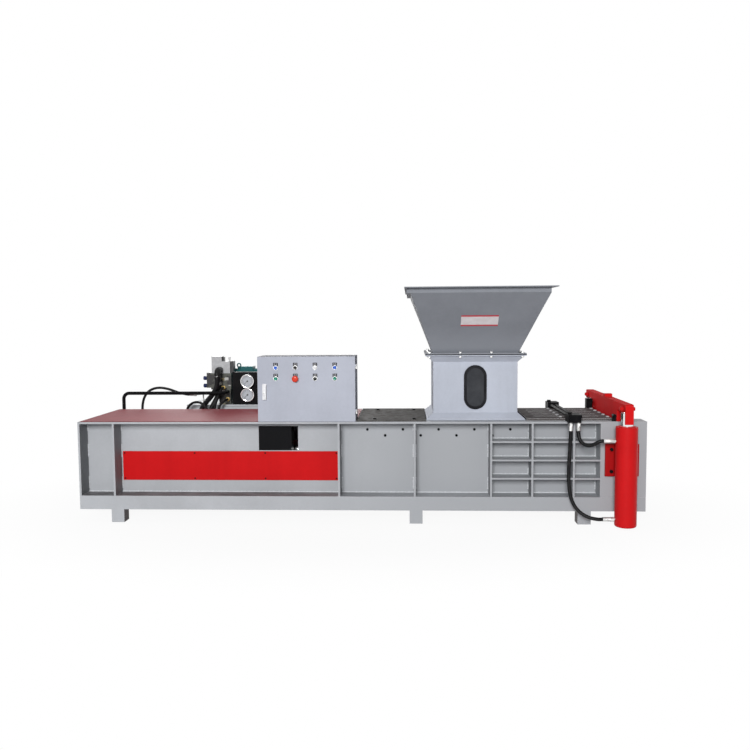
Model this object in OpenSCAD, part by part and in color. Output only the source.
// Horizontal hydraulic briquetting press: a ribbed steel channel with a ram driven along it,
// a feed hopper over the middle, a gate lifted by two side cylinders at the outlet, and a
// tank-mounted hydraulic power unit behind. X runs from the cylinder end to the outlet.

/* [Press body] */
// Length of the cylinder bay, from the cylinder end to the ram bay's rib
cylinder_bay_l = 1634; // [1620:2:1780]
// Length of the ram bay, up to the rib left of the feed opening
ram_bay_l = 467; // [450:1:500]
// Length of the feed bay, up to the rib where the press chamber starts
feed_bay_l = 466; // [450:1:500]
// Length of the press chamber, up to the gate guides
press_bay_l = 658; // [600:2:720]
// Length of the gate guides
guide_box_l = 275; // [270:1:285]
// Width of the press body over its flanges
body_w = 680; // [640:10:760]
// Height of the top flange above the ground
body_h = 632; // [620:2:660]
// Thickness of flanges, ribs and end plate
plate_t = 12; // [8:1:14]
// Thickness of the channel's side walls
wall_t = 16; // [12:1:20]
// Depth from the flange edge in to the side wall
recess_d = 120; // [110:2:126]
// Thickness of the channel floor
floor_t = 16; // [10:1:20]

/* [Base and feet] */
// Height of the base beams
beam_h = 86; // [80:2:96]
// Wall of the base beams and cross members
beam_t = 8; // [5:1:10]
// Width of each cross member
cross_w = 80; // [60:5:100]
// Height of the feet under the base beams
foot_h = 82; // [70:2:90]
// Side of each square foot
foot_w = 80; // [60:5:90]
// Wall of each foot
foot_t = 6; // [4:1:8]
// Middle of the left, centre and right feet along the body
foot_x_left = 240; // [200:10:300]
// Distance of the centre foot's middle past the rib left of the feed opening
foot_mid_in = 7; // [0:1:20]
// Distance of the right foot's middle from the outlet end
foot_right_in = 368; // [340:4:400]

/* [Ribs] */
// Middle of the rib at the cylinder end
rib_end_x = 224; // [200:4:260]
// Pitch of the ribs along the press chamber
rib_pitch = 250; // [240:2:260]
// Rows of level stiffeners along the press chamber
stiffener_rows = 3; // [2:1:4]
// Thickness of the level stiffeners
stiffener_t = 10; // [8:1:12]

/* [Covers] */
// Thickness of the red top cover
cover_t = 3; // [2:0.5:4]
// Gap from the red cover's edge to the flange edge
cover_inset = 12; // [8:1:20]
// Thickness of the deck plate beside the cabinet
deck_t = 6; // [5:1:8]
// Thickness of the slotted plate over the press chamber
slot_plate_t = 12; // [10:1:14]
// Width of the slots in that plate
slot_w = 14; // [10:1:18]
// Length of the slots in that plate
slot_l = 400; // [300:10:420]
// Pitch of the bolts and slots across the body
bolt_pitch = 107; // [100:1:110]
// Height of the red side panel
panel_h = 186; // [160:2:200]
// Height of the side panel's lower edge above the ground
panel_z = 244; // [230:2:260]
// Thickness of the side panel
panel_t = 3; // [2:0.5:4]
// Width of the black cable box's front
cable_box_w = 208; // [180:4:220]
// Gap between the cable box and the main cylinder
cable_box_gap = 8; // [6:1:30]
// Gap between the cable box and the top flange
cable_box_drop = 30; // [24:1:44]

/* [Main cylinder and ram] */
// Outer diameter of the main cylinder
main_od = 244; // [230:2:260]
// Bore of the main cylinder
main_bore = 200; // [180:2:210]
// Diameter of the main piston rod
main_rod_d = 140; // [110:2:160]
// Travel of the ram
ram_stroke = 700; // [600:10:720]
// Length of the ram
ram_l = 612; // [600:2:616]
// Side clearance of the ram in the channel
ram_gap = 3; // [2:0.5:5]
// Height of the ram's bronze wear pads
pad_h = 10; // [8:1:14]
// Running gap under wear pads, pistons and the closed gate
run_gap = 0.3; // [0.2:0.05:0.5]
// Height of the guide bars that hold the ram down
guide_h = 72; // [60:2:80]
// Thickness of the guide bars
guide_t = 20; // [16:1:24]
// Drop of the guide bars' middle below the deck
guide_drop = 82; // [78:1:92]

/* [Feed chute and hopper] */
// Width of the feed chute along the body
chute_l = 522; // [500:2:540]
// Distance of the chute's middle back from the press chamber's first rib
chute_back = 88; // [80:1:96]
// Height of the feed chute from the deck to its top flange
chute_h = 405; // [380:5:420]
// Sheet thickness of the chute
chute_t = 6; // [4:1:8]
// Outward reach of the chute's lower skirt
skirt_out = 42; // [30:1:46]
// Height of the chute's lower skirt
skirt_h = 36; // [30:1:44]
// Outward reach of the chute's upper collar
collar_out = 38; // [30:1:40]
// Width of the oval sight window
window_w = 141; // [120:1:160]
// Height of the oval sight window
window_h = 276; // [240:2:290]
// Height of the sight window's middle above the deck
window_up = 201; // [190:1:210]
// Height of the hopper above its bolted flange
hopper_h = 404; // [360:4:440]
// Length of the hopper's mouth along the body
mouth_l = 800; // [740:10:860]
// Length of the hopper's mouth across the body
mouth_w = 1160; // [1060:10:1240]
// Sheet thickness of the hopper
hopper_t = 4; // [3:0.5:6]
// Height of the upright band at the hopper's mouth
band_h = 34; // [24:2:50]
// Width of the rim at the hopper's mouth
rim_w = 36; // [20:2:44]

/* [Control cabinet] */
// Width of the cabinet
cab_w = 600; // [560:10:600]
// Height of the cabinet
cab_h = 400; // [380:5:420]
// Depth of the cabinet with its door
cab_d = 200; // [180:5:240]
// Sheet thickness of the cabinet and its door
cab_t = 2; // [1.5:0.5:3]
// Thickness of the door pan
door_d = 18; // [16:1:24]
// Distance of the cabinet's left side back from the ram bay's rib
cab_back = 494; // [494:2:504]
// Diameter of the round controls
button_d = 22; // [18:1:24]
// Pitch of the controls across the door
button_pitch_x = 121; // [110:1:126]
// Pitch of the two rows of controls
button_pitch_z = 67; // [62:1:76]
// Travel of each push button
button_travel = 4; // [2:0.5:5]

/* [Gate] */
// Thickness of the gate and its lifting beam
gate_t = 48; // [40:2:54]
// Sliding clearance of the gate at each side
gate_gap = 1; // [0.5:0.25:2]
// Distance of the gate's middle from the outlet end
gate_back = 150; // [144:1:154]
// Travel of the gate
gate_lift = 410; // [340:10:410]
// Height of the lifting beam's top above the deck
beam_top = 120; // [112:2:130]
// Reach of the lifting beam beyond the body on each side
beam_reach = 160; // [154:2:180]
// Outer diameter of the gate cylinders
lift_od = 128; // [118:2:132]
// Bore of the gate cylinders
lift_bore = 100; // [90:2:104]
// Diameter of the gate cylinders' rods
lift_rod_d = 70; // [60:2:74]
// Distance of the gate cylinders from the body's side
lift_out = 107; // [104:1:112]
// Ground clearance of the gate cylinders
lift_z = 20; // [12:1:24]
// Diameter of the pins that join rods and beam
pin_d = 22; // [18:1:24]
// Length of those pins
pin_l = 88; // [80:1:100]

/* [Power unit] */
// Length of the oil tank
tank_l = 900; // [880:10:1000]
// Width of the oil tank
tank_w = 500; // [480:10:560]
// Rise of the tank's lid above the deck
tank_rise = 20; // [14:1:38]
// Wall of the oil tank
tank_t = 5; // [4:1:8]
// Left side of the tank along the body
tank_x = 465; // [455:1:470]
// Gap between the body and the tank
tank_gap = 110; // [108:1:130]
// Shaft height of the motor
motor_h = 132; // [126:1:150]
// Diameter of the motor's frame
motor_d = 230; // [220:2:240]
// Length of the motor's frame
motor_l = 280; // [260:5:320]
// Diameter of the pressure gauges
gauge_d = 98; // [80:1:98]
// Outer diameter of the rigid pressure pipe
pipe_d = 24; // [18:1:28]
// Outer diameter of the gate's hoses
hose_d = 22; // [18:1:24]
// Outer diameter of the thick hoses
thick_d = 36; // [32:1:37]
// Outer diameter of the thin hoses
thin_d = 18; // [14:1:20]

/* [Hidden] */
$fn = 48;

// Fits and seats
fit = 0.1;              // radial clearance of a shaft or screw in its hole
seat = 0.3;             // gap where two curved faces meet
weld_gap = 0.1;         // root gap where a stiffener meets a rib
eps = 1;                // overshoot of a cutting tool beyond the face that it cuts

// Levels and planes of the body
rib_ram_x = cylinder_bay_l;
rib_feed_x = rib_ram_x + ram_bay_l;
rib_press_x = rib_feed_x + feed_bay_l;
guide_box_x = rib_press_x + press_bay_l;
body_l = guide_box_x + guide_box_l;
gate_x = body_l - gate_back;
chute_x = rib_press_x - chute_back;
cab_x = rib_ram_x - cab_back;
foot_x_mid = rib_feed_x + foot_mid_in;
foot_x_right = body_l - foot_right_in;
beam_w = recess_d + wall_t;
base_z = foot_h + beam_h;
floor_z = base_z + floor_t;
flange_z = body_h - plate_t;
mid_y = body_w / 2;
guide_z = body_h - guide_drop;
tank_h = body_h + tank_rise;
inner_w = body_w - 2 * beam_w;
slot_x0 = gate_x - gate_t / 2 - gate_gap;
slot_x1 = gate_x + gate_t / 2 + gate_gap;
cheek_t = 14;
manifold_x = gate_x - 292;
manifold_w = 76;

// Chute and hopper planes
chute_w = inner_w + 2 * wall_t;
chute_top = body_h + chute_h;
flange_t = 8;
flange_out = 48;
gasket_t = 1;
hopper_z = chute_top + gasket_t;
mouth_z = hopper_z + hopper_h;

// Tank planes
tank_y = body_w + tank_gap;
tank_foot_h = 60;
lid_t = 12;
lid_out = 5;

// The whole machine stands over the middle of its own box
front_y = mid_y - mouth_w / 2 - rim_w;
rear_y = tank_y + tank_w + lid_out;
centre_x = body_l / 2;
centre_y = (front_y + rear_y) / 2;

// Screws
head_r = 10;
head_h = 7;
shank_r = 5;
screw_hole_r = shank_r + fit;

// ---------------------------------------------------------------- helpers

module place() {
    translate([-centre_x, -centre_y, 0]) children();
}

// A block given by its low and high corners
module block(low, high) {
    translate(low) cube(high - low);
}

// The same piece on the body's front and, mirrored, on its rear
module both_sides() {
    children();
    translate([0, body_w, 0]) mirror([0, 1, 0]) children();
}

module cyl_x(r, x0, x1, y, z) {
    translate([x0, y, z]) rotate([0, 90, 0]) cylinder(r = r, h = x1 - x0);
}

module cyl_y(r, y0, y1, x, z) {
    translate([x, y0, z]) rotate([-90, 0, 0]) cylinder(r = r, h = y1 - y0);
}

module cyl_z(r, z0, z1, x, y) {
    translate([x, y, z0]) cylinder(r = r, h = z1 - z0);
}

module hex_z(r, z0, z1, x, y) {
    translate([x, y, z0]) cylinder(r = r, h = z1 - z0, $fn = 6);
}

module hex_x(r, x0, x1, y, z) {
    translate([x0, y, z]) rotate([0, 90, 0]) cylinder(r = r, h = x1 - x0, $fn = 6);
}

module hex_y(r, y0, y1, x, z) {
    translate([x, y0, z]) rotate([-90, 0, 0]) cylinder(r = r, h = y1 - y0, $fn = 6);
}

// A four-sided funnel shape about the chute's axis, l0 x w0 at z0 to l1 x w1 at z1, and from
// there straight up to z2 if one is given
function funnel_side(a, z0, b, z1, z2) = concat([[-a / 2, z0], [a / 2, z0], [b / 2, z1]],
    is_undef(z2) ? [] : [[b / 2, z2], [-b / 2, z2]], [[-b / 2, z1]]);
module funnel(l0, w0, z0, l1, w1, z1, z2) {
    translate([chute_x, mid_y, 0]) intersection() {
        translate([0, max(w0, w1) / 2, 0]) rotate([90, 0, 0])
            linear_extrude(height = max(w0, w1)) polygon(funnel_side(l0, z0, l1, z1, z2));
        translate([-max(l0, l1) / 2, 0, 0]) rotate([90, 0, 90])
            linear_extrude(height = max(l0, l1)) polygon(funnel_side(w0, z0, w1, z1, z2));
    }
}

// An upright oval of width w and height h, extruded along Y
module oval(w, h, y0, y1, x, z) {
    for (s = [-1, 1]) cyl_y(w / 2, y0, y1, x, z + s * (h - w) / 2);
    block([x - w / 2, y0, z - (h - w) / 2], [x + w / 2, y1, z + (h - w) / 2]);
}

// Sweep of a round hose along hand-set points
function unit(v) = v / norm(v);
function heading(p, i) = unit(p[min(i + 1, len(p) - 1)] - p[max(i - 1, 0)]);
function normals(p, i, n) = i >= len(p) ? [] :
    let (t = heading(p, i), m = unit(n - (n * t) * t))
    concat([m], normals(p, i + 1, m));
module hose(p, d, first_normal, sides = 10) {
    n = normals(p, 0, first_normal);
    rings = [for (i = [0:len(p) - 1]) let (b = cross(heading(p, i), n[i]))
        for (k = [0:sides - 1])
            p[i] + d / 2 * (cos(360 * k / sides) * n[i] + sin(360 * k / sides) * b)];
    last = (len(p) - 1) * sides;
    skin = [for (i = [0:len(p) - 2]) for (k = [0:sides - 1])
        let (a = i * sides + k, b = i * sides + (k + 1) % sides)
        each [[a, a + sides, b + sides], [a, b + sides, b]]];
    near_cap = [[for (k = [0:sides - 1]) k]];
    far_cap = [[for (k = [sides - 1:-1:0]) last + k]];
    polyhedron(points = rings, faces = concat(skin, near_cap, far_cap));
}

// ---------------------------------------------------------------- press body

cross_xs = [40 + plate_t, foot_x_left, 1000, rib_ram_x, foot_x_mid, rib_press_x, foot_x_right,
    body_l - cross_w / 2];
foot_xs = [foot_x_left, foot_x_mid, foot_x_right];

// A square-cut tube along X or Y: outer block less its hollow
module tube_x(low, high, t) {
    difference() {
        block(low, high);
        block(low + [-eps, t, t], high + [eps, -t, -t]);
    }
}

module tube_y(low, high, t) {
    difference() {
        block(low, high);
        block(low + [t, -eps, t], high + [-t, eps, -t]);
    }
}

module base_frame() {
    color("lightgray") place() {
        both_sides() {
            tube_x([0, 0, foot_h], [body_l, beam_w, base_z], beam_t);
            for (x = foot_xs) difference() {
                block([x - foot_w / 2, 0, 0], [x + foot_w / 2, foot_w, foot_h]);
                block([x - foot_w / 2 + foot_t, foot_t, foot_t],
                    [x + foot_w / 2 - foot_t, foot_w - foot_t, foot_h + eps / 2]);
            }
        }
        for (x = cross_xs)
            tube_y([x - cross_w / 2, beam_w, foot_h],
                [x + cross_w / 2, body_w - beam_w, base_z], beam_t);
        block([plate_t, beam_w, base_z - beam_t], [body_l, body_w - beam_w, floor_z]);
        block([0, 0, base_z], [plate_t, body_w, body_h]);
    }
}

// Staggered bolts that hold the guide bars along the side walls
guide_x0 = rib_ram_x + 66;
guide_x1 = chute_x + chute_l / 2;
guide_bolt_x0 = guide_x0 + 105;
guide_bolt_count = 9;
guide_bolt_pitch = (guide_x1 - 43 - guide_bolt_x0) / (guide_bolt_count - 1);
guide_bolt_dz = 19;
guide_bolts = [for (i = [0:guide_bolt_count - 1])
    [guide_bolt_x0 + i * guide_bolt_pitch,
        guide_z + (i % 2 == 0 ? guide_bolt_dz : -guide_bolt_dz)]];

// Where lines pass through the rear wall: [x, z, radius]
drain_x = 150;
drain_z = body_h - 202;
rod_line_x = 560;
rod_line_z = body_h - 162;
main_z = (floor_z + body_h) / 2 - 6;
pipe_x = 32;
pipe_r = pipe_d / 2;
drain_r = 8;
wall_holes = [[pipe_x, main_z, pipe_r + seat], [drain_x, drain_z, drain_r + seat],
    [rod_line_x, rod_line_z, pipe_r + seat]];

cable_box_x = cab_x - 24;
cable_box_d = mid_y - main_od / 2 - cable_box_gap - recess_d;
cable_box_z = panel_z + panel_h + 6;
cable_box_h = flange_z - cable_box_drop - cable_box_z;
cable_window_w = cable_box_w + 42;

module side_wall() {
    block([plate_t, recess_d, base_z], [guide_box_x, beam_w, flange_z]);
    block([plate_t, 0, flange_z], [guide_box_x, beam_w, body_h]);
}

module side_walls() {
    color("lightgray") place() {
        difference() {
            both_sides() difference() {
                side_wall();
                for (b = guide_bolts)
                    cyl_y(screw_hole_r, recess_d - eps, beam_w + eps, b[0], b[1]);
            }
            block([cable_box_x - seat, recess_d - eps, cable_box_z - seat],
                [cable_box_x + cable_window_w, beam_w + eps, cable_box_z + cable_box_h + seat]);
            for (h = wall_holes)
                cyl_y(h[2], body_w - beam_w - eps, body_w - recess_d + eps, h[0], h[1]);
            for (p = deck_screws)
                cyl_z(screw_hole_r, flange_z - eps, body_h + eps, p[0], p[1]);
            for (p = panel_screws)
                cyl_y(panel_screw_r + fit, -eps, body_w + eps, p[0], p[1]);
        }
    }
}

rib_xs = [rib_end_x, rib_ram_x, rib_feed_x, rib_press_x, rib_press_x + rib_pitch,
    rib_press_x + 2 * rib_pitch];
press_xs = [rib_press_x, rib_press_x + rib_pitch, rib_press_x + 2 * rib_pitch,
    guide_box_x + plate_t / 2];

module ribs() {
    color("lightgray") place() both_sides() {
        for (x = rib_xs)
            block([x - plate_t / 2, 0, base_z], [x + plate_t / 2, recess_d, flange_z]);
        for (i = [0:len(press_xs) - 2]) for (j = [1:stiffener_rows])
            let (z = base_z + j * (flange_z - base_z) / (stiffener_rows + 1))
            block([press_xs[i] + plate_t / 2 + weld_gap, 0, z - stiffener_t / 2],
                [press_xs[i + 1] - plate_t / 2 - weld_gap, recess_d, z + stiffener_t / 2]);
    }
}

module gate_guide() {
    difference() {
        union() {
            block([guide_box_x, 0, base_z], [body_l, plate_t, body_h]);
            block([guide_box_x, 0, base_z], [guide_box_x + plate_t, beam_w, body_h]);
            block([guide_box_x, recess_d, base_z], [slot_x0, beam_w, body_h]);
            block([slot_x0 - cheek_t, 0, base_z], [slot_x0, beam_w, body_h]);
            block([slot_x1, 0, base_z], [slot_x1 + cheek_t, beam_w, body_h]);
            block([slot_x1, recess_d, base_z], [body_l, beam_w, body_h]);
            block([body_l - plate_t, 0, base_z], [body_l, beam_w, body_h]);
            block([guide_box_x, 0, flange_z], [slot_x0, beam_w, body_h]);
            block([slot_x1, 0, flange_z], [body_l, beam_w, body_h]);
        }
        for (p = mount_screws)
            cyl_y(screw_hole_r, -eps, plate_t + eps, p[0], p[1]);
        for (p = deck_screws)
            cyl_z(screw_hole_r, flange_z - eps, body_h + eps, p[0], p[1]);
    }
}

module gate_guides() {
    color("lightgray") place() both_sides() gate_guide();
}

// ---------------------------------------------------------------- covers

deck_x0 = cab_x + cab_w + 6;
deck_x1 = chute_x - chute_l / 2 - skirt_out - 4;
slot_x_start = chute_x + chute_l / 2 + skirt_out + 8;
slot_plate_x1 = gate_x - gate_t / 2 - 14;
slot_plate_y0 = 60;
deck_y0 = 20;

deck_bolt_y = 98;
deck_rows = [deck_x0 + 106, deck_x1 - 74];
slot_rows = [manifold_x + manifold_w / 2 - 90, slot_plate_x1 - 17];
deck_screws = concat(
    [for (x = deck_rows) for (y = [deck_bolt_y, body_w - deck_bolt_y]) [x, y]],
    [for (x = slot_rows) for (y = [mid_y - 2 * bolt_pitch, mid_y + 2 * bolt_pitch])
        [x, y]]);
inner_screws = [for (x = slot_rows) for (j = [-1:1]) [x, mid_y + j * bolt_pitch]];

module cylinder_cover() {
    color("firebrick") place()
        block([cover_inset, cover_inset, body_h],
            [cab_x + cab_w, body_w - cover_inset, body_h + cover_t]);
}

module deck_plate() {
    color("dimgray") place() difference() {
        block([deck_x0, deck_y0, body_h], [deck_x1, body_w - deck_y0, body_h + deck_t]);
        for (x = deck_rows) for (y = [deck_bolt_y, body_w - deck_bolt_y])
            cyl_z(screw_hole_r, body_h - eps, body_h + deck_t + eps, x, y);
    }
}

module slotted_plate() {
    slot_x = (slot_x_start + slot_plate_x1) / 2;
    color("dimgray") place() difference() {
        block([slot_x_start, slot_plate_y0, body_h],
            [slot_plate_x1, body_w - slot_plate_y0, body_h + slot_plate_t]);
        for (j = [-1.5:1:1.5])
            block([slot_x - slot_l / 2, mid_y + j * bolt_pitch - slot_w / 2, body_h - eps],
                [slot_x + slot_l / 2, mid_y + j * bolt_pitch + slot_w / 2,
                    body_h + slot_plate_t + eps]);
        for (x = slot_rows) for (j = [-2:2])
            cyl_z(screw_hole_r, body_h - eps, body_h + slot_plate_t + eps,
                x, mid_y + j * bolt_pitch);
    }
}

panel_x0 = rib_end_x + plate_t / 2 + 8;
panel_x1 = rib_ram_x - plate_t / 2 - 8;
panel_screw_r = 3;
panel_screw_in = 12;
panel_screws = [for (i = [0:3]) for (z = [panel_z + panel_screw_in,
        panel_z + panel_h - panel_screw_in])
    [panel_x0 + panel_screw_in + i * (panel_x1 - panel_x0 - 2 * panel_screw_in) / 3, z]];

module side_panels() {
    color("red") place() both_sides() difference() {
        block([panel_x0, recess_d - panel_t, panel_z], [panel_x1, recess_d, panel_z + panel_h]);
        for (p = panel_screws)
            cyl_y(panel_screw_r + fit, recess_d - panel_t - eps, recess_d + eps, p[0], p[1]);
    }
}

module cable_box() {
    box_t = 3;
    color("black") place() difference() {
        block([cable_box_x, recess_d - box_t, cable_box_z],
            [cable_box_x + cable_box_w, recess_d + cable_box_d, cable_box_z + cable_box_h]);
        block([cable_box_x + box_t, recess_d, cable_box_z + box_t],
            [cable_box_x + cable_box_w - box_t, recess_d + cable_box_d - box_t,
                cable_box_z + cable_box_h - box_t]);
    }
}

module guide_bars() {
    color("silver") place() both_sides() difference() {
        block([guide_x0, beam_w, guide_z - guide_h / 2],
            [guide_x1, beam_w + guide_t, guide_z + guide_h / 2]);
        for (b = guide_bolts)
            cyl_y(screw_hole_r, beam_w - eps, beam_w + guide_t + eps, b[0], b[1]);
    }
}

// One cap screw: head seated on the face, shank running in from it
module screw_z(x, y, z, depth) {
    cyl_z(head_r, z, z + head_h, x, y);
    cyl_z(shank_r, z - depth, z, x, y);
}

module screw_y(x, y, z, depth, hr = head_r, hh = head_h, sr = shank_r) {
    cyl_y(hr, y - hh, y, x, z);
    cyl_y(sr, y, y + depth, x, z);
}

module fasteners() {
    color("darkslategray") place() {
        for (x = deck_rows) for (y = [deck_bolt_y, body_w - deck_bolt_y])
            screw_z(x, y, body_h + deck_t, deck_t + plate_t);
        for (x = slot_rows) for (j = [-2:2])
            screw_z(x, mid_y + j * bolt_pitch, body_h + slot_plate_t,
                abs(j) == 2 ? slot_plate_t + plate_t : slot_plate_t);
        both_sides() {
            for (b = guide_bolts)
                screw_y(b[0], recess_d, b[1], wall_t + guide_t, 8, 5);
            for (p = panel_screws)
                screw_y(p[0], recess_d - panel_t, p[1], panel_t + wall_t, 5, 3, panel_screw_r);
            for (p = mount_screws)
                screw_y(p[0], -mount_t, p[1], mount_t + plate_t, 10, 12);
            for (x = flange_screw_xs)
                flange_screw(x, flange_screw_y);
        }
        for (y = flange_screw_ys) for (s = [-1, 1])
            flange_screw(chute_x + s * flange_screw_x, y);
    }
}

// ---------------------------------------------------------------- main cylinder and ram

main_cap = 60;
main_x0 = 120;
main_x1 = rib_ram_x - 404;
gland_l = 60;
gland_port_y = mid_y + 80;
piston_l = 60;
piston_x = main_x0 + main_cap + 20;
ram_x = rib_ram_x - 74;
mount_x0 = 200;
mount_x1 = main_x1 - 190;
mount_plate_t = 24;
cylinder_flange_t = 25;
cylinder_flange_r = main_od / 2 + 28;

module cylinder_mounts() {
    color("lightgray") place() for (x = [mount_x0, mount_x1]) difference() {
        block([x, beam_w, floor_z], [x + mount_plate_t, body_w - beam_w, flange_z - 20]);
        cyl_x(main_od / 2 + seat, x - eps, x + mount_plate_t + eps, mid_y, main_z);
        cyl_x(pipe_r + 3, x - eps, x + mount_plate_t + eps, rod_line_y, rod_line_z);
    }
}

module main_cylinder() {
    color("gray") place() {
        difference() {
            union() {
                cyl_x(main_od / 2, main_x0, main_x1, mid_y, main_z);
                cyl_x(cylinder_flange_r, mount_x1 + mount_plate_t,
                    mount_x1 + mount_plate_t + cylinder_flange_t, mid_y, main_z);
            }
            cyl_x(main_bore / 2, main_x0 + main_cap, main_x1 + eps, mid_y, main_z);
            cyl_x(pipe_r + fit, main_x0 - eps, main_x0 + main_cap + eps, pipe_end_y, main_z);
        }
        difference() {
            union() {
                cyl_x(main_bore / 2, main_x1 - gland_l, main_x1, mid_y, main_z);
                cyl_x(main_od / 2, main_x1, main_x1 + gland_l, mid_y, main_z);
            }
            cyl_x(main_rod_d / 2 + fit, main_x1 - gland_l - eps, main_x1 + gland_l + eps,
                mid_y, main_z);
            cyl_y(pipe_r + fit, gland_port_y, mid_y + main_od / 2 + eps, main_x1 + 30, rod_line_z);
        }
    }
}

module main_rod() {
    nose_t = 24;
    color("silver") place() {
        cyl_x(main_bore / 2 - fit, piston_x, piston_x + piston_l, mid_y, main_z);
        cyl_x(main_rod_d / 2, piston_x + piston_l, ram_x, mid_y, main_z);
        cyl_x(main_rod_d / 2 + 30, ram_x - nose_t, ram_x, mid_y, main_z);
    }
}

ram_top = body_h - 4;
ram_y0 = beam_w + ram_gap;
ram_wall = 40;
pad_w = 80;

module ram() {
    notch_gap = 4;
    color("slategray") place() difference() {
        block([ram_x, ram_y0, floor_z + pad_h], [ram_x + ram_l, body_w - ram_y0, ram_top]);
        both_sides()
            block([ram_x - eps, ram_y0 - eps, guide_z - guide_h / 2 - notch_gap],
                [ram_x + ram_l + eps, beam_w + guide_t + notch_gap,
                    guide_z + guide_h / 2 + notch_gap]);
        block([ram_x + ram_wall, ram_y0 + guide_t + ram_wall, floor_z + pad_h + ram_wall],
            [ram_x + ram_l - ram_wall, body_w - ram_y0 - guide_t - ram_wall,
                ram_top - ram_wall]);
    }
}

module ram_wear_pads() {
    color("peru") place() both_sides()
        block([ram_x, ram_y0 + 20, floor_z + run_gap],
            [ram_x + ram_l, ram_y0 + 20 + pad_w, floor_z + pad_h]);
}

// ---------------------------------------------------------------- chute and hopper

window_z = body_h + window_up;
window_lip = 7;
gasket_d = 18;

module flange_holes() {
    for (x = flange_screw_xs) for (y = [flange_screw_y, body_w - flange_screw_y])
        cyl_z(screw_hole_r, chute_top - 3 * flange_t, hopper_z + flange_t + eps, x, y);
    for (y = flange_screw_ys) for (s = [-1, 1])
        cyl_z(screw_hole_r, chute_top - 3 * flange_t, hopper_z + flange_t + eps,
            chute_x + s * flange_screw_x, y);
}

module chute() {
    l = chute_l;
    w = chute_w;
    color("gainsboro") place() difference() {
        union() {
            funnel(l, w, body_h, l, w, chute_top);
            funnel(l + 2 * skirt_out, w + 2 * skirt_out, body_h + flange_t,
                l, w, body_h + flange_t + skirt_h);
            funnel(l + 2 * skirt_out, w + 2 * skirt_out, body_h,
                l + 2 * skirt_out, w + 2 * skirt_out, body_h + flange_t);
            funnel(l, w, chute_top - flange_t - collar_out,
                l + 2 * collar_out, w + 2 * collar_out, chute_top - flange_t);
            funnel(l + 2 * flange_out, w + 2 * flange_out, chute_top - flange_t,
                l + 2 * flange_out, w + 2 * flange_out, chute_top);
        }
        funnel(l - 2 * chute_t, w - 2 * chute_t, body_h - eps,
            l - 2 * chute_t, w - 2 * chute_t, chute_top + eps);
        oval(window_w - 2 * window_lip, window_h - 2 * window_lip, mid_y - w / 2 - eps,
            mid_y - w / 2 + chute_t + eps, chute_x, window_z);
        flange_holes();
    }
}

flange_screw_pitch = 190;
flange_screw_in = flange_out - 18;
flange_screw_xs = [for (i = [-1.5:1:1.5]) chute_x + i * flange_screw_pitch];
flange_screw_y = mid_y - chute_w / 2 - flange_screw_in;
flange_screw_ys = [mid_y - 120, mid_y + 120];
flange_screw_x = chute_l / 2 + flange_screw_in;
flange_screw_r = 6;

module flange_screw(x, y) {
    cyl_z(shank_r, chute_top - flange_t, hopper_z + flange_t, x, y);
    hex_z(8, hopper_z + flange_t, hopper_z + flange_t + flange_screw_r, x, y);
}

module window_gasket() {
    y0 = mid_y - chute_w / 2;
    color("black") place() difference() {
        oval(window_w, window_h, y0 - 6, y0 + chute_t + 6, chute_x, window_z);
        difference() {
            oval(window_w + eps, window_h + eps, y0 - 0.1, y0 + chute_t + 0.1,
                chute_x, window_z);
            oval(window_w - 2 * window_lip, window_h - 2 * window_lip, y0 - eps,
                y0 + chute_t + eps, chute_x, window_z);
        }
        oval(pane_w, pane_h, y0, y0 + pane_t, chute_x, window_z);
        oval(pane_w - 2 * window_lip, pane_h - 2 * window_lip, y0 - 6 - eps,
            y0 + chute_t + 6 + eps, chute_x, window_z);
    }
}

pane_w = window_w - 4 * window_lip + 8;
pane_h = window_h - 4 * window_lip + 8;
pane_t = 6;

module window_pane() {
    y0 = mid_y - chute_w / 2;
    color("darkslategray") place()
        oval(pane_w, pane_h, y0, y0 + pane_t, chute_x, window_z);
}

module hopper() {
    l = chute_l;
    w = chute_w;
    z1 = mouth_z - band_h;
    rim_t = 6;
    bar_w = 24;
    color("dimgray") place() difference() {
        union() {
            funnel(l, w, hopper_z, mouth_l, mouth_w, z1, mouth_z);
            funnel(l + 2 * flange_out, w + 2 * flange_out, hopper_z,
                l + 2 * flange_out, w + 2 * flange_out, hopper_z + flange_t);
            funnel(mouth_l + 2 * rim_w, mouth_w + 2 * rim_w, mouth_z - rim_t,
                mouth_l + 2 * rim_w, mouth_w + 2 * rim_w, mouth_z);
            block([chute_x - mouth_l / 2 - bar_w, mid_y - mouth_w / 2, z1],
                [chute_x - mouth_l / 2 + hopper_t / 2, mid_y + mouth_w / 2, mouth_z]);
        }
        funnel(l - 2 * hopper_t, w - 2 * hopper_t, hopper_z,
            mouth_l - 2 * hopper_t, mouth_w - 2 * hopper_t, z1, mouth_z + eps);
        funnel(l - 2 * hopper_t, w - 2 * hopper_t, hopper_z - eps,
            l - 2 * hopper_t, w - 2 * hopper_t, hopper_z + eps);
        flange_holes();
    }
}

// ---------------------------------------------------------------- control cabinet

cab_z = body_h + cover_t;
door_y0 = -10;
door_y1 = door_y0 + door_d;
cab_y0 = door_y1 + 1;
cab_y1 = door_y0 + cab_d;
hinge_x = cab_x + cab_w + 6;
hinge_y = door_y0 + 9;
hinge_l = 28;
hinge_r = 5.5;
hinge_pin_r = 2.5;
hinge_zs = [cab_z + 48, cab_z + cab_h - 76];

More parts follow.
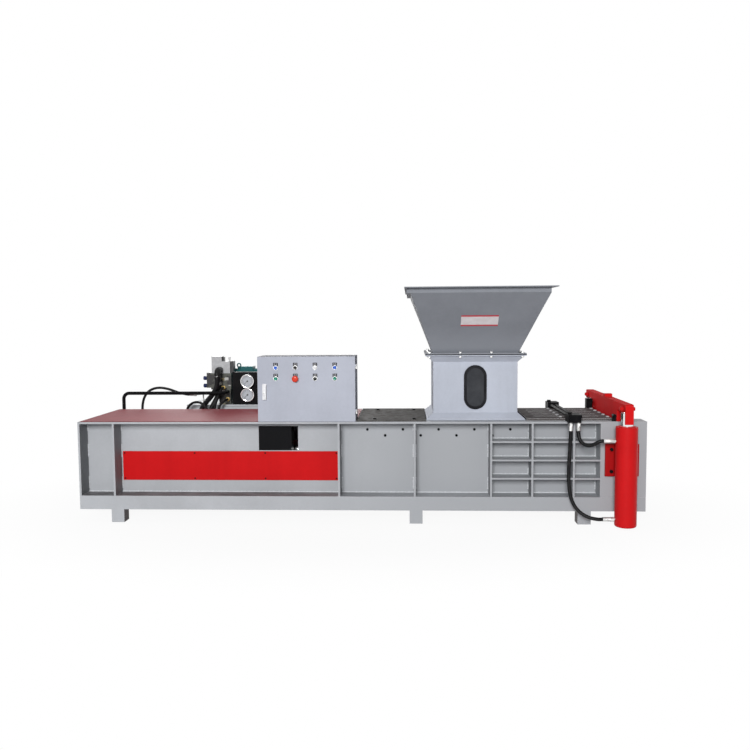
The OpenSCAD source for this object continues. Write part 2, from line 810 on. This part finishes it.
module cabinet() {
    t = cab_t;
    lip = 16;
    color("lightsteelblue") place() {
        difference() {
            block([cab_x, cab_y0, cab_z], [cab_x + cab_w, cab_y1, cab_z + cab_h]);
            block([cab_x + t, cab_y0 + t, cab_z + t],
                [cab_x + cab_w - t, cab_y1 - t, cab_z + cab_h - t]);
            block([cab_x + lip, cab_y0 - eps, cab_z + lip],
                [cab_x + cab_w - lip, cab_y0 + t + eps, cab_z + cab_h - lip]);
        }
        for (z = hinge_zs) {
            cyl_z(hinge_r, z, z + hinge_l / 2, hinge_x, hinge_y);
            cyl_z(hinge_pin_r, z, z + hinge_l - 2, hinge_x, hinge_y);
            block([cab_x + cab_w, hinge_y, z], [hinge_x, cab_y0 + 24, z + hinge_l / 2]);
        }
    }
}

control_x0 = cab_x + 113;
control_z0 = cab_z + cab_h - 68;
control_xs = [for (i = [0:3]) control_x0 + i * button_pitch_x];
control_zs = [control_z0, control_z0 - button_pitch_z];
button_r = button_d / 2;
bezel_r = button_r + 3.5;
bore_r = button_r + fit;
handle_x = cab_x + 43;
handle_z = cab_z + 218;

module cabinet_door() {
    t = cab_t;
    color("lightsteelblue") place() difference() {
        union() {
            difference() {
                block([cab_x, door_y0, cab_z], [cab_x + cab_w, door_y1, cab_z + cab_h]);
                block([cab_x + t, door_y0 + t, cab_z + t],
                    [cab_x + cab_w - t, door_y1 + eps, cab_z + cab_h - t]);
            }
            for (z = hinge_zs) {
                cyl_z(hinge_r, z + hinge_l / 2 + seat, z + hinge_l, hinge_x, hinge_y);
                block([cab_x + cab_w - t, door_y0, z + hinge_l / 2 + seat],
                    [hinge_x, hinge_y, z + hinge_l]);
            }
        }
        for (z = hinge_zs)
            cyl_z(hinge_pin_r + fit, z, z + hinge_l + eps, hinge_x, hinge_y);
        for (x = control_xs) for (z = control_zs)
            cyl_y(bore_r, door_y0 - eps, door_y0 + t + eps, x, z);
        cyl_y(handle_r + fit, door_y0 - eps, door_y0 + t + eps, handle_x, handle_z);
    }
}

handle_r = 8;
handle_plate_t = 4;

module door_handle() {
    color("white") place() {
        cyl_y(handle_r, door_y0 - handle_plate_t - 14, door_y0 + 10, handle_x, handle_z);
        block([handle_x - 9, door_y0 - handle_plate_t - 14, handle_z - 76],
            [handle_x + 9, door_y0 - handle_plate_t - 4, handle_z + 12]);
    }
}

// Escutcheon, label plates, bezel rings and the white lamp
module door_fittings() {
    label_w = 27;
    label_h = 21;
    ring_t = 5;
    color("silver") place() {
        difference() {
            block([handle_x - 13, door_y0 - handle_plate_t, handle_z - 84],
                [handle_x + 13, door_y0, handle_z + 16]);
            cyl_y(handle_r + fit, door_y0 - handle_plate_t - eps, door_y0 + eps,
                handle_x, handle_z);
        }
        for (x = control_xs) for (z = control_zs) difference() {
            union() {
                cyl_y(bezel_r, door_y0 - ring_t, door_y0, x, z);
                block([x - label_w / 2, door_y0 - 1, z + 8],
                    [x + label_w / 2, door_y0, z + 8 + label_h]);
            }
            cyl_y(bore_r, door_y0 - ring_t - eps, door_y0 + eps, x, z);
        }
        cyl_y(button_r, door_y0 - 12, door_y0 + 6, control_xs[2], control_zs[0]);
    }
}

// A push button: cap in front of the ring, plunger through the door, collar behind it
module push_button(x, z, cap_r) {
    cap_out = 11;
    collar_gap = 0.3;
    cyl_y(cap_r, door_y0 - cap_out, door_y0 + cab_t + collar_gap, x, z);
    cyl_y(cap_r + 2, door_y0 + cab_t + collar_gap, door_y0 + cab_t + 3, x, z);
}

module button_blue_left() {
    color("royalblue") place() push_button(control_xs[0], control_zs[0], button_r);
}

module button_black() {
    color("black") place() push_button(control_xs[1], control_zs[0], button_r);
}

module button_blue_right() {
    color("royalblue") place() push_button(control_xs[3], control_zs[0], button_r);
}

module button_green_left() {
    color("seagreen") place() push_button(control_xs[0], control_zs[1], button_r);
}

module button_green_right() {
    color("seagreen") place() push_button(control_xs[3], control_zs[1], button_r);
}

module emergency_stop() {
    x = control_xs[1];
    z = control_zs[1];
    color("red") place() {
        push_button(x, z, button_r);
        cyl_y(20, door_y0 - 28, door_y0 - 14, x, z);
        cyl_y(14, door_y0 - 14, door_y0 - 11, x, z);
    }
}

module selector_switch() {
    x = control_xs[2];
    z = control_zs[1];
    color("black") place() {
        push_button(x, z, button_r);
        translate([x, door_y0 - 11, z]) rotate([0, 45, 0])
            translate([-4, -10, -button_r]) cube([8, 10, 2 * button_r]);
    }
}

// Mounting plate with a row of breakers and contactors inside the cabinet
module control_gear() {
    plate_y = cab_y1 - cab_t - 12;
    color("gray") place() {
        block([cab_x + 40, plate_y, cab_z + 40],
            [cab_x + cab_w - 40, plate_y + 3, cab_z + cab_h - 40]);
        for (x = [cab_x + 60, cab_x + cab_w - 60]) for (z = [cab_z + 60, cab_z + cab_h - 60])
            cyl_y(6, plate_y + 3, cab_y1 - cab_t, x, z);
        for (i = [0:4])
            block([cab_x + 90 + i * 84, plate_y - 70, cab_z + 230],
                [cab_x + 150 + i * 84, plate_y, cab_z + 315]);
        for (i = [0:3])
            block([cab_x + 100 + i * 100, plate_y - 90, cab_z + 80],
                [cab_x + 170 + i * 100, plate_y, cab_z + 180]);
    }
}

// ---------------------------------------------------------------- gate and its cylinders

lift_r = lift_od / 2;
lift_y = -lift_out;
nose_z = body_h + beam_top - 47;
lift_top = nose_z - 89;
lift_cap = 30;
lift_gland = 56;
pin_z = nose_z + 17;
rod_top = nose_z - 7;
tongue_t = 24;
gate_z0 = floor_z + run_gap;
gate_split_z = flange_z - 20;
gate_side = plate_t * 2;

module gate_plate() {
    color("slategray") place()
        block([gate_x - gate_t / 2, gate_side, gate_z0],
            [gate_x + gate_t / 2, body_w - gate_side, gate_split_z]);
}

// Profile of the lifting beam in the YZ plane: its front half, and the same mirrored
module beam_profile() {
    top = body_h + beam_top;
    guard_t = 14;
    guard_z = body_h + 2;
    lug_h = 18;
    half = [[gate_side, gate_split_z], [gate_side, nose_z - 12], [gate_side - 12, nose_z],
        [guard_t - beam_reach, nose_z], [guard_t - beam_reach, guard_z],
        [-beam_reach, guard_z], [-beam_reach, top - 10], [10 - beam_reach, top],
        [mid_y - 20, top], [mid_y - 20, top + lug_h]];
    polygon(concat(half, [for (i = [len(half) - 1:-1:0]) [body_w - half[i][0], half[i][1]]]));
}

module gate_beam() {
    color("red") place() difference() {
        translate([gate_x - gate_t / 2, 0, 0]) rotate([90, 0, 90])
            linear_extrude(height = gate_t) beam_profile();
        both_sides() {
            block([gate_x - tongue_t / 2 - seat, lift_y - 37, nose_z - eps],
                [gate_x + tongue_t / 2 + seat, lift_y + 37, body_h + beam_top - 6]);
            cyl_x(pin_d / 2 + fit, gate_x - gate_t, gate_x + gate_t, lift_y, pin_z);
        }
    }
}

module gate_pins() {
    head_t = 6;
    color("red") place() both_sides() {
        cyl_x(pin_d / 2, gate_x - pin_l / 2, gate_x + pin_l / 2, lift_y, pin_z);
        for (s = [-1, 1])
            let (x = gate_x + s * (gate_t / 2 + 8))
            cyl_x(pin_d / 2 + 5, x - head_t / 2, x + head_t / 2, lift_y, pin_z);
    }
}

module gate_rods() {
    piston_z = lift_z + lift_cap + 30;
    piston_h = 40;
    tongue_w = 60;
    color("white") place() both_sides() difference() {
        union() {
            cyl_z(lift_bore / 2 - fit, piston_z, piston_z + piston_h, gate_x, lift_y);
            cyl_z(lift_rod_d / 2, piston_z + piston_h, rod_top, gate_x, lift_y);
            block([gate_x - tongue_t / 2, lift_y - tongue_w / 2, rod_top],
                [gate_x + tongue_t / 2, lift_y + tongue_w / 2, pin_z + 18]);
        }
        cyl_x(pin_d / 2 + fit, gate_x - gate_t, gate_x + gate_t, lift_y, pin_z);
    }
}

mount_t = 20;
mount_w = 200;
mount_h = 196;
mount_z = 400;
mount_screws = [for (s = [-1, 1]) for (t = [-1, 1]) [gate_x + s * 65, mount_z + t * 67]];

module lift_cylinder() {
    corner = 10;
    difference() {
        union() {
            translate([gate_x, lift_y, 0]) rotate_extrude()
                polygon(concat([[0, lift_z], [lift_r - corner, lift_z]],
                    [for (a = [-75:15:0])
                        [lift_r - corner + corner * cos(a), lift_z + corner + corner * sin(a)]],
                    [[lift_r, lift_top], [0, lift_top]]));
            block([gate_x - mount_w / 2, -mount_t, mount_z - mount_h / 2],
                [gate_x + mount_w / 2, 0, mount_z + mount_h / 2]);
            block([gate_x - 34, lift_y, mount_z - mount_h / 2 + 12],
                [gate_x + 34, 0, mount_z + mount_h / 2 - 12]);
        }
        cyl_z(lift_bore / 2, lift_z + lift_cap, lift_top + eps, gate_x, lift_y);
        for (p = mount_screws)
            cyl_y(screw_hole_r, -mount_t - eps, eps, p[0], p[1]);
        for (z = lift_ports)
            cyl_x(port_bore_r, gate_x - lift_r - eps, gate_x, lift_y, z);
    }
}

module lift_gland_ring() {
    difference() {
        cyl_z(lift_bore / 2 - fit, lift_top - lift_gland, lift_top + 4, gate_x, lift_y);
        cyl_z(lift_rod_d / 2 + fit, lift_top - lift_gland - eps, lift_top + 5, gate_x, lift_y);
    }
}

module gate_cylinders() {
    color("red") place() both_sides() {
        lift_cylinder();
        lift_gland_ring();
    }
}

// ---------------------------------------------------------------- pipework of the gate

lift_ports = [lift_z + 41, lift_top - 85];
port_bore_r = 6;
hose_r = hose_d / 2;
ferrule_r = hose_r + 2;
manifold_y0 = -55;
manifold_y1 = 45;
manifold_h = 48;
cross_pipe_dx = 16;
hose_drop_x = [manifold_x - 20, manifold_x + 26];
hose_drop_y = -32;
hose_drop_z = body_h - 50;
port_hose_x = gate_x - 134;
switch_x = gate_x - gate_t / 2 - 2;

module gate_manifold() {
    pipe_z = body_h + 30;
    color("black") place() {
        both_sides() {
            block([manifold_x - manifold_w / 2, manifold_y0, body_h],
                [manifold_x + manifold_w / 2, manifold_y1, body_h + manifold_h]);
            cyl_z(13, body_h + manifold_h, body_h + manifold_h + 12, manifold_x - 22, -8);
            hex_y(12, manifold_y0 - 8, manifold_y0, manifold_x - 22, pipe_z);
            hex_x(11, manifold_x + manifold_w / 2, manifold_x + manifold_w / 2 + 10,
                -20, pipe_z + 4);
        }
        for (s = [-1, 1])
            cyl_y(9, manifold_y1, body_w - manifold_y1, manifold_x + s * cross_pipe_dx, pipe_z);
        // Limit switches of the gate: a box behind, a small plunger switch in front
        block([switch_x - 44, body_w - 50, body_h], [switch_x - 4, body_w - 10, body_h + 74]);
        cyl_x(12, switch_x - 4, switch_x, body_w - 34, body_h + 52);
        block([switch_x - 26, 14, body_h], [switch_x - 6, 34, body_h + 26]);
        cyl_y(11, 4, 40, switch_x - 16, body_h + 34);
    }
}

// A crimped hose end along Z: neck, hexagon and ferrule
module hose_end_z(x, y, z0, z1) {
    cyl_z(ferrule_r - 4, z1 - 6, z1, x, y);
    hex_z(ferrule_r + 2, z1 - 22, z1 - 6, x, y);
    cyl_z(ferrule_r, z0, z1 - 22, x, y);
}

module hose_end_x(x0, x1, y, z) {
    cyl_x(ferrule_r - 4, x1 - 10, x1, y, z);
    hex_x(ferrule_r + 2, x1 - 30, x1 - 10, y, z);
    cyl_x(ferrule_r, x0, x1 - 30, y, z);
}

// An elbow that leaves a face along Y and turns up into a hose
module elbow_up(x, y0, z, y, r, bend) {
    cyl_y(r + 6, min(y0, y0 + sign(y - y0) * 8), max(y0, y0 + sign(y - y0) * 8), x, z);
    bent_pipe([[x, y0, z], [x, y, z], [x, y, z + bend + elbow_neck]], r - 4, bend);
    cyl_z(r + 2, z + bend + elbow_neck, z + bend + elbow_neck + ferrule_l, x, y);
}

thick_r = thick_d / 2;
thin_r = thin_d / 2;
elbow_neck = 6;
ferrule_l = 24;
lift_fitting_gap = seat;

module pipe_fittings() {
    color("gainsboro") place() {
        for (x = hose_drop_x) hose_end_z(x, hose_drop_y, hose_drop_z, body_h);
        for (z = lift_ports) difference() {
            hose_end_x(port_hose_x, gate_x - lift_r + 5, lift_y, z);
            cyl_z(lift_r + lift_fitting_gap, z - 40, z + 40, gate_x, lift_y);
        }
        elbow_up(drain_x, body_w - recess_d, drain_z, return_y, thin_r, 16);
        elbow_up(rod_line_x, body_w - recess_d, rod_line_z, thick_y, thick_r, 30);
        elbow_up(tank_port_x, tank_y, rod_line_z, thick_y, thick_r, 20);
        // Return hose's end and the thin pipe from it down to the tank lid
        cyl_x(thin_r + 2, return_x1, return_x1 + 30, return_y, return_z1);
        hex_x(thin_r + 4, return_x1 + 30, return_x1 + 46, return_y, return_z1);
        bent_pipe([[return_x1 + 46, return_y, return_z1],
            [thin_pipe_x, return_y, return_z1], [thin_pipe_x, tank_y + 24, return_z1],
            [thin_pipe_x, tank_y + 24, tank_h]], 5, 20);
        // Thin hoses' ends at the valve block, at the tank and on the feed pipes
        for (p = block_ports) {
            hex_y(thin_r + 5, block_y0 - 12, block_y0, p[0], p[1]);
            cyl_y(thin_r + 2, block_y0 - 26, block_y0 - 12, p[0], p[1]);
        }
        for (x = feed_xs) {
            hex_z(thin_r + 4, feed_top_z - 12, feed_top_z, x, feed_y);
            cyl_z(thin_r + 2, feed_top_z, feed_top_z + 16, x, feed_y);
        }
        for (x = arc_xs) {
            bent_pipe([[x, tank_y, arc_z], [x, arc_y, arc_z], [x, arc_y, arc_z + 40]],
                thin_r - 2, 20);
            cyl_z(thin_r + 2, arc_z + 40, arc_z + 60, x, arc_y);
        }
        // Clips that carry the feed pipes on the ribs' rear edges
        for (x = clip_xs) difference() {
            block([x - plate_t / 2, body_w, feed_zs[1] - feed_r - 8],
                [x + plate_t / 2, feed_y + feed_r + 6, feed_zs[0] + feed_r + 8]);
            for (z = feed_zs)
                cyl_x(feed_r + fit, x - plate_t, x + plate_t, feed_y, z);
        }
    }
}

// A rigid pipe through square corners, each bent to radius bend
module bent_pipe(p, r, bend) {
    for (i = [0:len(p) - 2]) {
        d = unit(p[i + 1] - p[i]);
        a = p[i] + (i == 0 ? 0 : bend) * d;
        b = p[i + 1] - (i == len(p) - 2 ? 0 : bend) * d;
        along(a, d) cylinder(r = r, h = norm(b - a));
    }
    for (i = [1:1:len(p) - 2]) {
        u = unit(p[i] - p[i - 1]);
        v = unit(p[i + 1] - p[i]);
        n = cross(u, v);
        // The bend turns about n, from heading u to heading v
        multmatrix([[-v[0], u[0], n[0], p[i][0] - bend * u[0] + bend * v[0]],
            [-v[1], u[1], n[1], p[i][1] - bend * u[1] + bend * v[1]],
            [-v[2], u[2], n[2], p[i][2] - bend * u[2] + bend * v[2]], [0, 0, 0, 1]])
            rotate_extrude(angle = 90) translate([bend, 0]) circle(r);
    }
}

// Turns the Z axis to a direction along X, Y or Z
module along(p, d) {
    translate(p) rotate([d[1] == 0 ? (d[2] < 0 ? 180 : 0) : -90 * d[1],
        d[0] == 0 ? 0 : 90 * d[0], 0]) children();
}

pipe_run_z = tank_h + 93;
pipe_bend = 40;
press_leg_x = 756;
pipe_y = body_w + 20;
pipe_end_y = mid_y + 60;
rod_line_y = mid_y + main_od / 2 + 38;
feed_y = body_w + 22;
feed_r = 8;
feed_zs = [body_h - 72, body_h - 106];
feed_xs = [716, 684];
feed_top_z = body_h - 32;
thick_y = tank_y - 38;
return_y = body_w + 60;
return_x1 = 500;
return_z1 = tank_h + 80;
thin_pipe_x = 575;
tank_port_x = 630;
arc_xs = [484, 632];
arc_y = body_w + 22;
arc_z = body_h - 212;
clip_xs = [rib_ram_x, rib_feed_x, rib_press_x];

// Points of each hose, from its first fitting to its last
function from(base, points) = [for (p = points) base + p];
long_route = from([gate_x, 0, 0],
    [[-312, -32, 582], [-312, -32, 550], [-314, -32, 500], [-318, -33, 420], [-322, -37, 330],
    [-321, -44, 250], [-312, -54, 185], [-292, -67, 132], [-256, -82, 92], [-210, -98, 69],
    [-164, -107, 61], [-134, -107, 61]]);
short_route = from([gate_x, 0, lift_ports[1]],
    [[-266, -32, 51], [-266, -32, 39], [-264, -36, 17], [-256, -45, -7], [-240, -58, -25],
    [-216, -76, -32], [-190, -92, -24], [-167, -103, -8], [-147, -107, 0], [-134, -107, 0]]);
return_route = from([0, body_w, body_h],
    [[150, 60, -156], [150, 60, -112], [150, 60, -42], [153, 60, 28], [168, 60, 81],
    [197, 60, 120], [238, 60, 142], [290, 60, 148], [350, 60, 137], [415, 60, 114],
    [478, 60, 100], [500, 60, 100]]);
arc_route = from([0, body_w, body_h],
    [[484, 22, -152], [484, 22, -67], [484, 22, -26], [490, 22, 2], [506, 22, 26],
    [530, 22, 42], [558, 22, 48], [586, 22, 42], [610, 22, 26], [626, 22, 2], [632, 22, -26],
    [632, 22, -152]]);
thick_left_route = from([0, body_w, body_h],
    [[700, 55, 213], [700, 55, 205], [693, 56, 157], [673, 58, 113], [643, 62, 75],
    [611, 66, 39], [583, 69, -1], [565, 71, -46], [560, 72, -88], [560, 72, -102]]);
thick_right_route = from([0, body_w, body_h],
    [[698, 104, 164], [698, 104, 154], [695, 103, 117], [686, 98, 79], [670, 91, 44],
    [652, 82, 10], [639, 76, -26], [632, 73, -65], [630, 72, -98], [630, 72, -112]]);
feed_left_route = from([0, body_w, body_h],
    [[684, 22, -16], [684, 22, -6], [693, 24, 41], [708, 33, 88], [722, 59, 127],
    [728, 102, 142], [728, 114, 142]]);
feed_right_route = from([0, body_w, body_h],
    [[716, 22, -16], [716, 22, -6], [724, 26, 24], [741, 44, 46], [754, 73, 57],
    [758, 102, 59], [758, 114, 59]]);

module hydraulic_pipes() {
    color("black") place() {
        bent_pipe([[press_leg_x, block_y0, pipe_run_z], [press_leg_x, pipe_y, pipe_run_z],
            [pipe_x, pipe_y, pipe_run_z], [pipe_x, pipe_y, main_z],
            [pipe_x, pipe_end_y, main_z], [main_x0 + 20, pipe_end_y, main_z]],
            pipe_r, pipe_bend);
        bent_pipe([[rod_line_x, body_w - recess_d, rod_line_z],
            [rod_line_x, rod_line_y, rod_line_z], [main_x1 + 30, rod_line_y, rod_line_z],
            [main_x1 + 30, gland_port_y + 5, rod_line_z]], pipe_r, 24);
        for (i = [0, 1])
            bent_pipe([[feed_xs[i], feed_y, feed_top_z - 12], [feed_xs[i], feed_y, feed_zs[i]],
                [manifold_x - cross_pipe_dx + 2 * i * cross_pipe_dx, feed_y, feed_zs[i]],
                [manifold_x - cross_pipe_dx + 2 * i * cross_pipe_dx, feed_y, body_h]],
                feed_r, 24);
    }
}

module gate_hose_long() {
    color("black") place() hose(long_route, hose_d, [1, 0, 0]);
}

module gate_hose_short() {
    color("black") place() hose(short_route, hose_d, [1, 0, 0]);
}

module return_hose() {
    color("black") place() hose(return_route, thin_d, [0, 1, 0]);
}

module arc_hose() {
    color("black") place() hose(arc_route, thin_d, [0, 1, 0]);
}

module thick_hose_left() {
    color("black") place() hose(thick_left_route, thick_d, [0, 1, 0]);
}

module thick_hose_right() {
    color("black") place() hose(thick_right_route, thick_d, [0, 1, 0]);
}

module feed_hose_left() {
    color("black") place() hose(feed_left_route, thin_d, [1, 0, 0]);
}

module feed_hose_right() {
    color("black") place() hose(feed_right_route, thin_d, [1, 0, 0]);
}

// ---------------------------------------------------------------- hydraulic power unit

module tank() {
    z0 = tank_foot_h;
    color("silver") place() {
        difference() {
            block([tank_x, tank_y, z0], [tank_x + tank_l, tank_y + tank_w, tank_h - lid_t]);
            block([tank_x + tank_t, tank_y + tank_t, z0 + tank_t],
                [tank_x + tank_l - tank_t, tank_y + tank_w - tank_t, tank_h - lid_t]);
        }
        block([tank_x - lid_out, tank_y - lid_out, tank_h - lid_t],
            [tank_x + tank_l + lid_out, tank_y + tank_w + lid_out, tank_h]);
        for (x = [tank_x + 40, tank_x + tank_l - 100])
            for (y = [tank_y + 20, tank_y + tank_w - 80])
                block([x, y, 0], [x + 60, y + 60, z0]);
        // Ties that hold the tank to the press body
        for (x = [tank_x + 120, tank_x + tank_l - 220])
            block([x, body_w, z0 + 50], [x + 100, tank_y, z0 + 62]);
        // Filler breather
        cyl_z(24, tank_h, tank_h + 20, tank_x + tank_l - 80, tank_y + 120);
        cyl_z(34, tank_h + 20, tank_h + 62, tank_x + tank_l - 80, tank_y + 120);
    }
}

motor_x = 750;
motor_y = tank_y + tank_w / 2;
motor_z = tank_h + motor_h;
motor_r = motor_d / 2;
shield_t = 16;
fan_l = 95;
bell_l = 60;
pump_l = 56;
shaft_r = 19;
rotor_r = 66;
rotor_gap = 1;
stator_in = 40;

module motor() {
    x1 = motor_x + motor_l;
    box_x = motor_x + 62;
    color("teal") place() {
        difference() {
            union() {
                cyl_x(motor_r - 8, motor_x, x1, motor_y, motor_z);
                for (x = [motor_x, x1 - shield_t])
                    cyl_x(motor_r, x, x + shield_t, motor_y, motor_z);
                for (a = [-60:12:240])
                    translate([motor_x, motor_y, motor_z]) rotate([a, 0, 0])
                        block([shield_t - 2, motor_r - 12, -2], [motor_l - shield_t + 2, motor_r - 2, 2]);
                for (s = [-1, 1])
                    block([motor_x + 40, motor_y + s * 85 - 24, tank_h],
                        [x1 - 40, motor_y + s * 85 + 24, tank_h + 60]);
                block([box_x, motor_y - 48, motor_z + motor_r - 30],
                    [box_x + 92, motor_y + 48, motor_z + motor_r + 16]);
                cyl_z(12, motor_z + motor_r - 20, motor_z + motor_r + 8, motor_x + 40, motor_y);
            }
            cyl_x(rotor_r + rotor_gap, motor_x + stator_in, x1 - stator_in, motor_y, motor_z);
            cyl_x(shaft_r + fit, motor_x - eps, x1 + eps, motor_y, motor_z);
        }
        // Fan cowl
        difference() {
            cyl_x(motor_r - 3, x1, x1 + fan_l, motor_y, motor_z);
            cyl_x(motor_r - 6, x1 - eps, x1 + fan_l - 3, motor_y, motor_z);
            for (r = [30:16:90]) difference() {
                cyl_x(r + 5, x1 + fan_l - 3 - eps, x1 + fan_l + eps, motor_y, motor_z);
                cyl_x(r - 3, x1 + fan_l - 3 - eps, x1 + fan_l + eps, motor_y, motor_z);
                block([x1, motor_y - motor_r, motor_z - 3],
                    [x1 + fan_l + eps, motor_y + motor_r, motor_z + 3]);
                block([x1, motor_y - 3, motor_z - motor_r],
                    [x1 + fan_l + eps, motor_y + 3, motor_z + motor_r]);
            }
        }
        // Lifting eye
        translate([motor_x + 40, motor_y, motor_z + motor_r + 8 + 15]) rotate([0, 90, 90])
            rotate_extrude() translate([13, 0]) circle(4.5);
    }
}

module motor_rotor() {
    x1 = motor_x + motor_l;
    color("silver") place() {
        cyl_x(rotor_r, motor_x + stator_in + 10, x1 - stator_in - 10, motor_y, motor_z);
        cyl_x(shaft_r, motor_x - bell_l - pump_l + 20, x1 + 60, motor_y, motor_z);
        cyl_x(40, motor_x - bell_l + 8, motor_x - 8, motor_y, motor_z);
        cyl_x(34, x1 + 30, x1 + 60, motor_y, motor_z);
        for (a = [0:45:315])
            translate([x1 + 30, motor_y, motor_z]) rotate([a, 0, 0])
                block([0, 30, -2], [30, motor_r - 20, 2]);
    }
}

module pump() {
    x0 = motor_x - bell_l;
    color("dimgray") place() {
        difference() {
            union() {
                cyl_x(90, x0, motor_x, motor_y, motor_z);
                cyl_x(motor_r - 4, motor_x - 12, motor_x, motor_y, motor_z);
            }
            cyl_x(48, x0 + 8, motor_x + eps, motor_y, motor_z);
            cyl_x(shaft_r + fit, x0 - eps, motor_x, motor_y, motor_z);
        }
        difference() {
            block([x0 - pump_l, motor_y - 62, motor_z - 70], [x0, motor_y + 62, motor_z + 70]);
            cyl_x(shaft_r + fit, x0 - pump_l + 18, x0 + eps, motor_y, motor_z);
        }
        // Pressure line from the pump to the valve block
        cyl_y(14, block_y0 + block_w, motor_y - 62, x0 - pump_l / 2, motor_z);
    }
}

left_top = thick_left_route[0];
right_top = thick_right_route[0];
block_ports = [[728, tank_h + 122], [758, tank_h + 39]];
block_x0 = 632;
block_y0 = tank_y + 30;
block_w = 100;
block_z0 = tank_h + 108;
block_z1 = block_z0 + 116;
block_l = 148;
column_x0 = block_x0 + 58;
column_w = 85;
relief_zs = [block_z1 - 37, block_z1 - 92];
knob_r = 13;

module valve_manifold() {
    color("gray") place() {
        block([block_x0, block_y0, block_z0], [block_x0 + block_l, block_y0 + block_w, block_z1]);
        block([column_x0, block_y0, tank_h],
            [column_x0 + column_w, block_y0 + block_w, block_z0]);
        // Elbow down into the right thick hose
        elbow_down(right_top[0], block_y0, block_z1 - 28, right_top[1], thick_r, 22,
            right_top[2]);
        difference() {
            block([block_x0 - 36, block_y0 + 20, relief_zs[1] - 14],
                [block_x0, block_y0 + 80, relief_zs[0] + 40]);
            for (z = relief_zs)
                cyl_x(6 + fit, block_x0 - 36 - eps, block_x0 - 10, block_y0 + 50, z);
        }
    }
}

module relief_knob(z) {
    x0 = block_x0 - 36;
    cyl_x(6, x0 - 8, block_x0 - 12, block_y0 + 50, z);
    cyl_x(knob_r, x0 - 30, x0 - 8, block_y0 + 50, z);
    for (a = [0:45:315])
        translate([0, block_y0 + 50, z]) rotate([a, 0, 0])
            block([x0 - 28, knob_r - 1, -2], [x0 - 10, knob_r + 1.5, 2]);
}

module relief_knob_upper() {
    color("navy") place() relief_knob(relief_zs[0]);
}

module relief_knob_lower() {
    color("navy") place() relief_knob(relief_zs[1]);
}

module solenoid_valves() {
    x0 = block_x0 + 5;
    y0 = block_y0 + 10;
    y1 = block_y0 + 90;
    z0 = block_z1;
    color("lightgray") place() {
        block([x0, y0, z0], [x0 + 74, y1, z0 + 122]);
        block([x0 + 74, y0, z0], [x0 + 134, y1, z0 + 86]);
        block([x0 + 134, y0 + 10, z0], [x0 + 157, y1 - 10, z0 + 88]);
        block([x0 + 74, y0 + 20, z0 + 86], [x0 + 86, y1 - 20, z0 + 118]);
        cyl_z(6, z0 + 86, z0 + 100, x0 + 122, y0 + 40);
        cyl_z(9, z0 + 100, z0 + 116, x0 + 122, y0 + 40);
        // Elbow down into the left thick hose
        elbow_down(left_top[0], y0, z0 + 24, left_top[1], thick_r, 30, left_top[2]);
    }
}

// An elbow that leaves a face along Y and turns down into a hose
module elbow_down(x, y0, z, y, r, bend, z_end) {
    bent_pipe([[x, y0, z], [x, y, z], [x, y, z - bend - elbow_neck]], r - 5, bend);
    cyl_z(r + 2, z_end, z - bend - elbow_neck, x, y);
}

gauge_x = 907;
gauge_zs = [tank_h + 170, tank_h + 72];
panel_y = tank_y + 10;

module gauge_panel() {
    x0 = gauge_x - 112;
    x1 = gauge_x + 112;
    z1 = gauge_zs[0] + 64;
    color("black") place() difference() {
        block([x0, panel_y, tank_h], [x1, panel_y + 50, z1]);
        block([x0 + 4, panel_y + 4, tank_h + 4], [x1 - 4, panel_y + 50 + eps, z1 - 4]);
    }
}

gauge_r = gauge_d / 2;
gauge_depth = 34;

module pressure_gauges() {
    y1 = panel_y;
    y0 = y1 - gauge_depth;
    color("white") place() for (z = gauge_zs) {
        difference() {
            cyl_y(gauge_r, y0, y1, gauge_x, z);
            cyl_y(gauge_r - 5, y0 - eps, y0 + 12, gauge_x, z);
        }
        cyl_y(2, y0 + 5, y0 + 12, gauge_x, z);
    }
}

module gauge_pointer(z) {
    y0 = panel_y - gauge_depth + 6;
    difference() {
        union() {
            cyl_y(6, y0, y0 + 4, gauge_x, z);
            translate([gauge_x, 0, z]) rotate([0, -135, 0])
                block([-1.5, y0 + 1, -8], [1.5, y0 + 3, gauge_r - 14]);
        }
        cyl_y(2 + fit, y0 - eps, y0 + 4 + eps, gauge_x, z);
    }
}

module gauge_pointer_upper() {
    color("black") place() gauge_pointer(gauge_zs[0]);
}

module gauge_pointer_lower() {
    color("black") place() gauge_pointer(gauge_zs[1]);
}

base_frame();
side_walls();
ribs();
gate_guides();
cylinder_cover();
deck_plate();
slotted_plate();
side_panels();
cable_box();
guide_bars();
fasteners();
cylinder_mounts();
main_cylinder();
main_rod();
ram();
ram_wear_pads();
chute();
window_gasket();
window_pane();
hopper();
cabinet();
cabinet_door();
door_handle();
door_fittings();
button_blue_left();
button_black();
button_blue_right();
button_green_left();
emergency_stop();
selector_switch();
button_green_right();
control_gear();
gate_plate();
gate_beam();
gate_pins();
gate_rods();
gate_cylinders();
gate_manifold();
pipe_fittings();
hydraulic_pipes();
tank();
motor();
motor_rotor();
pump();
valve_manifold();
solenoid_valves();
relief_knob_upper();
relief_knob_lower();
gauge_panel();
pressure_gauges();
gauge_pointer_upper();
gauge_pointer_lower();
gate_hose_long();
gate_hose_short();
return_hose();
arc_hose();
thick_hose_left();
thick_hose_right();
feed_hose_left();
feed_hose_right();
